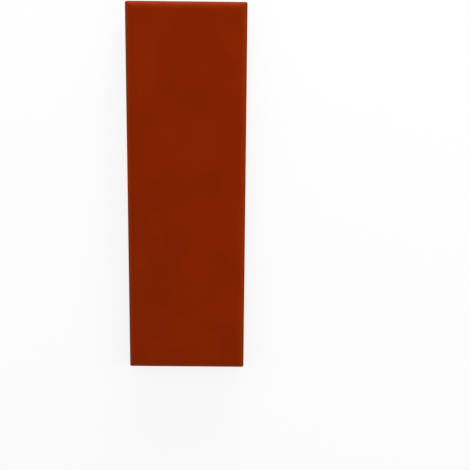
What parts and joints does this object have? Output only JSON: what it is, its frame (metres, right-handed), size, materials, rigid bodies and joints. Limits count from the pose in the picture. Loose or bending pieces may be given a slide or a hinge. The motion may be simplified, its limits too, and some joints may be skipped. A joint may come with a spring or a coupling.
{
  "type": "rectangular ceramic tile",
  "caption": "Long rectangular ceramic wall tile with a plain matte face, edges that roll down softly, and a grid of keying ribs on the back.",
  "frame": {"origin": "middle of the plane that the back ribs stand on", "axes": "+Z the way the face looks, +Y along the length, +X across the width"},
  "size_m": [0.065, 0.2, 0.008],
  "materials": {
    "tile": "matte"
  },
  "bodies": {
    "root": {"tile": "tile"}
  },
  "joints": []
}
